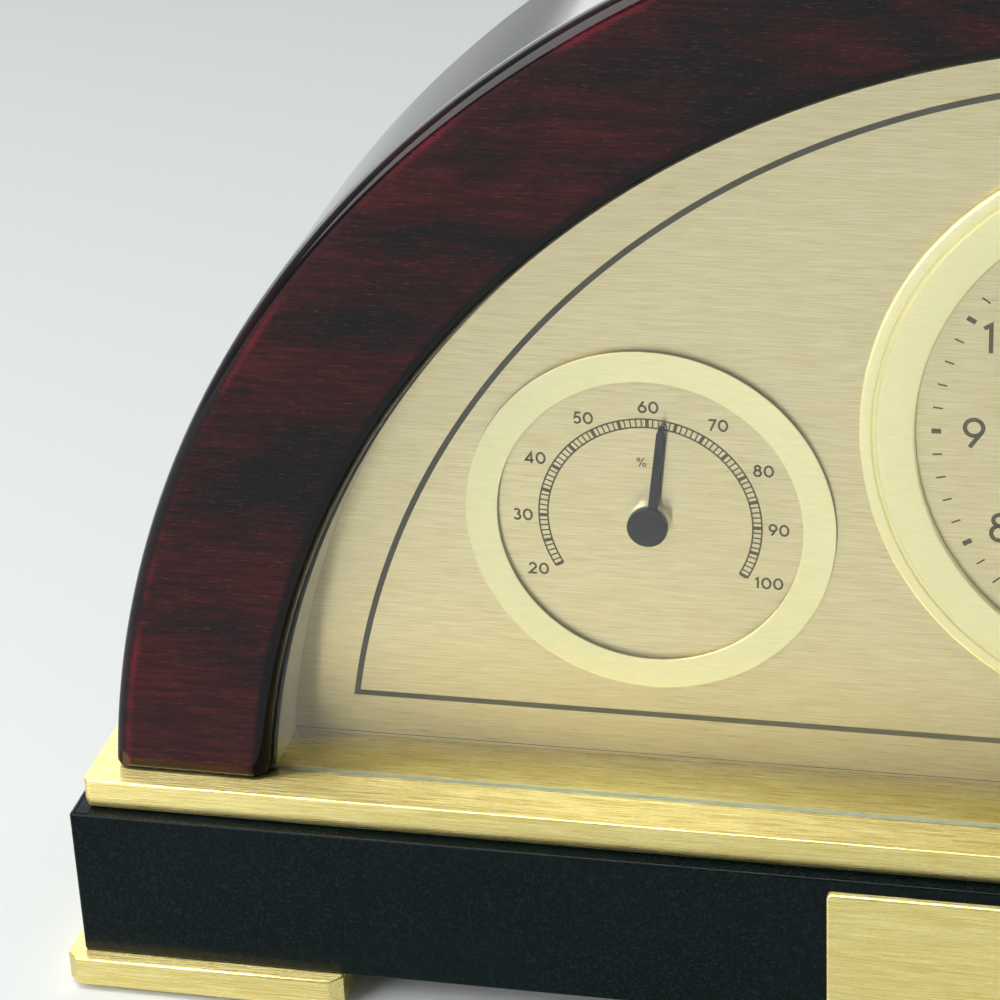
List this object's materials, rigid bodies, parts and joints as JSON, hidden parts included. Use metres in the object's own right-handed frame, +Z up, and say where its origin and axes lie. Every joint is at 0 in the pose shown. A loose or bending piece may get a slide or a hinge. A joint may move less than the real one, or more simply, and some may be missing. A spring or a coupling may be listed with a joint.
{
  "type": "thermometer hygrometer clock",
  "caption": "Arched wooden desk clock with dials for time, humidity and temperature on a brass plate, standing on a brass strip, a black plinth and brass feet",
  "frame": {"origin": "centre of the base on the table, at the bottom centre of the bounding box", "axes": "+X to the clock's right as seen from the front, along its length; -Y towards the viewer; +Z up from the table"},
  "size_m": [0.2664, 0.0444, 0.1447],
  "materials": {
    "rosewood_lacquer": "gloss",
    "black_lacquer": "gloss",
    "brushed_brass": "brushed",
    "champagne_brass": "brushed",
    "pale_matte_brass": "satin",
    "clear_glass": "polished",
    "pale_plastic": "satin",
    "black_board": "matte",
    "raw_board": "raw",
    "black_felt": "felt",
    "zinc_steel": "plated",
    "black_plastic": "moulded",
    "turned_brass": "turned",
    "black_rubber": "matte",
    "black_hand_paint": "satin",
    "nickel_plate": "polished",
    "coil_strip": "rolled",
    "battery_steel": "plated",
    "battery_label": "gloss",
    "dark_cup_plastic": "moulded"
  },
  "bodies": {
    "case": {"left_foot": "brushed_brass", "right_foot": "brushed_brass", "left_pad": "black_felt", "right_pad": "black_felt", "plinth": "black_lacquer", "deck_strip": "brushed_brass", "case_bolts": "zinc_steel", "front_plaque": "brushed_brass", "arch_case": "rosewood_lacquer", "front_glass": "clear_glass", "aperture_lining": "pale_plastic", "dial_plate": "champagne_brass", "rear_spacer": "raw_board", "back_panel": "black_board", "panel_screws": "zinc_steel", "clock_ring": "pale_matte_brass", "hygrometer_ring": "pale_matte_brass", "thermometer_ring": "pale_matte_brass", "hygrometer_bush": "nickel_plate", "thermometer_bush": "nickel_plate", "hygrometer_housing": "dark_cup_plastic", "thermometer_housing": "dark_cup_plastic", "hygrometer_coil": "coil_strip", "thermometer_coil": "coil_strip", "hygrometer_post": "turned_brass", "thermometer_post": "turned_brass", "movement_front_shell": "black_plastic", "movement_rear_shell": "black_plastic", "dial_gasket": "black_rubber", "movement_bushing": "turned_brass", "movement_washer": "turned_brass", "movement_nut": "turned_brass", "battery_contact_negative": "zinc_steel", "battery_contact_positive": "zinc_steel"},
    "hour_hand": {"hour_hand": "black_hand_paint", "hour_tube": "turned_brass"},
    "minute_hand": {"minute_hand": "black_hand_paint", "minute_arbor": "zinc_steel", "hand_nut": "black_hand_paint"},
    "set_knob": {"set_knob": "black_plastic"},
    "hygrometer_needle": {"hygrometer_needle": "black_hand_paint", "hygrometer_hub": "black_hand_paint", "hygrometer_spindle": "zinc_steel"},
    "thermometer_needle": {"thermometer_needle": "black_hand_paint", "thermometer_hub": "black_hand_paint", "thermometer_spindle": "zinc_steel"},
    "battery": {"battery_can": "battery_steel", "battery_sleeve": "battery_label"}
  },
  "joints": [
    {"name": "minute_hand_turn", "type": "hinge", "parent": "case", "child": "minute_hand", "pos_m": [0, 0, 0.07493], "axis": [0, 1, 0], "continuous": true},
    {"name": "hour_hand_turn", "type": "hinge", "parent": "case", "child": "hour_hand", "pos_m": [0, 0, 0.07493], "axis": [0, 1, 0], "continuous": true},
    {"name": "set_knob_turn", "type": "hinge", "parent": "case", "child": "set_knob", "pos_m": [0, 0, 0.07493], "axis": [0, 1, 0], "continuous": true},
    {"name": "hygrometer_needle_turn", "type": "hinge", "parent": "case", "child": "hygrometer_needle", "pos_m": [-0.06118, 0, 0.06105], "axis": [0, 1, 0], "range_deg": [-129.4, 110.6], "stiffness_Nm_per_rad": 0.0002},
    {"name": "thermometer_needle_turn", "type": "hinge", "parent": "case", "child": "thermometer_needle", "pos_m": [0.06118, 0, 0.06105], "axis": [0, 1, 0], "range_deg": [-128, 112], "stiffness_Nm_per_rad": 0.0002},
    {"name": "battery_slide", "type": "slide", "parent": "case", "child": "battery", "axis": [0, 1, 0], "range_m": [0, 0.03]}
  ],
  "couplings": [
    {"joint": "hour_hand_turn", "follows": "minute_hand_turn", "ratio": 0.083333},
    {"joint": "set_knob_turn", "follows": "minute_hand_turn", "ratio": 1}
  ]
}
